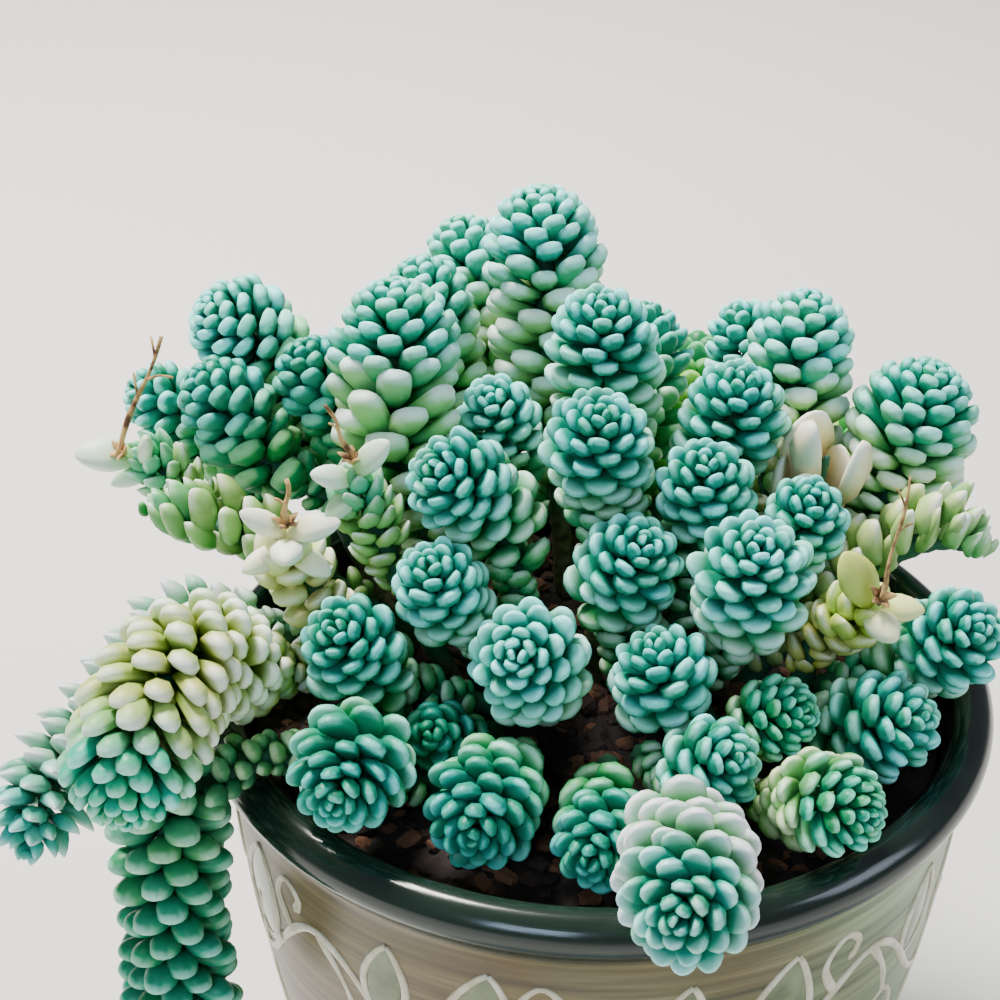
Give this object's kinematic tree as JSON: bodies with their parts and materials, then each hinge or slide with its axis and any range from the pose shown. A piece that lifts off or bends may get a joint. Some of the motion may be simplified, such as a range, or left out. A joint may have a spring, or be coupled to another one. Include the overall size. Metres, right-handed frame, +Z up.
{
  "type": "potted sedum",
  "caption": "Trailing sedum with crowded stems of short plump blue-green leaves, standing in a round glazed pot of potting mix, some stems spilling over the rim.",
  "frame": {"origin": "centre of the pot's flat base", "axes": "+Z up along the pot's axis; -Y is the front, which the picture shows; +X is to the right seen from the front"},
  "size_m": [0.1982, 0.2202, 0.2032],
  "materials": {
    "pot_glaze": "gloss",
    "potting_mix": "matte",
    "dry_stalk": "matte",
    "leaf_teal": "satin",
    "leaf_green": "satin",
    "leaf_pale": "satin",
    "leaf_cream": "satin"
  },
  "bodies": {
    "root": {"dry_stalk_left": "dry_stalk", "dry_stalk_lower": "dry_stalk", "dry_stalk_right": "dry_stalk", "dry_stalk_upper": "dry_stalk", "pot": "pot_glaze", "soil": "potting_mix", "stem_back_right": "leaf_teal", "stem_bleached": "leaf_cream", "stem_centre": "leaf_teal", "stem_crest": "leaf_teal", "stem_crest_left": "leaf_teal", "stem_edge_right": "leaf_teal", "stem_face": "leaf_teal", "stem_far_left": "leaf_teal", "stem_front": "leaf_teal", "stem_hanging": "leaf_green", "stem_left_face": "leaf_teal", "stem_left_low": "leaf_teal", "stem_left_mate": "leaf_teal", "stem_left_spread": "leaf_pale", "stem_left_twin": "leaf_teal", "stem_lip_front": "leaf_teal", "stem_lip_left": "leaf_teal", "stem_lip_low": "leaf_green", "stem_lip_mid": "leaf_teal", "stem_lip_right": "leaf_teal", "stem_low_mid": "leaf_teal", "stem_low_right": "leaf_green", "stem_mid_front": "leaf_teal", "stem_mid_left": "leaf_teal", "stem_nook": "leaf_teal", "stem_over_lip": "leaf_teal", "stem_pale_left": "leaf_pale", "stem_pale_lower": "leaf_cream", "stem_pale_right": "leaf_pale", "stem_pale_upper": "leaf_pale", "stem_rear_far_right": "leaf_green", "stem_rear_inner": "leaf_teal", "stem_rear_left": "leaf_teal", "stem_rear_low_left": "leaf_teal", "stem_rear_low_mid": "leaf_green", "stem_rear_mid": "leaf_teal", "stem_rear_right": "leaf_teal", "stem_right_front": "leaf_teal", "stem_right_inner": "leaf_teal", "stem_right_mid": "leaf_teal", "stem_right_small": "leaf_teal", "stem_right_spread": "leaf_pale", "stem_right_top": "leaf_green", "stem_right_twin": "leaf_teal", "stem_shade": "leaf_teal", "stem_shoulder": "leaf_teal", "stem_tower": "leaf_teal", "stem_trail_mate": "leaf_pale", "stem_trail_near": "leaf_pale", "stem_tucked_left": "leaf_teal", "stem_upper_mid": "leaf_teal"}
  },
  "joints": []
}
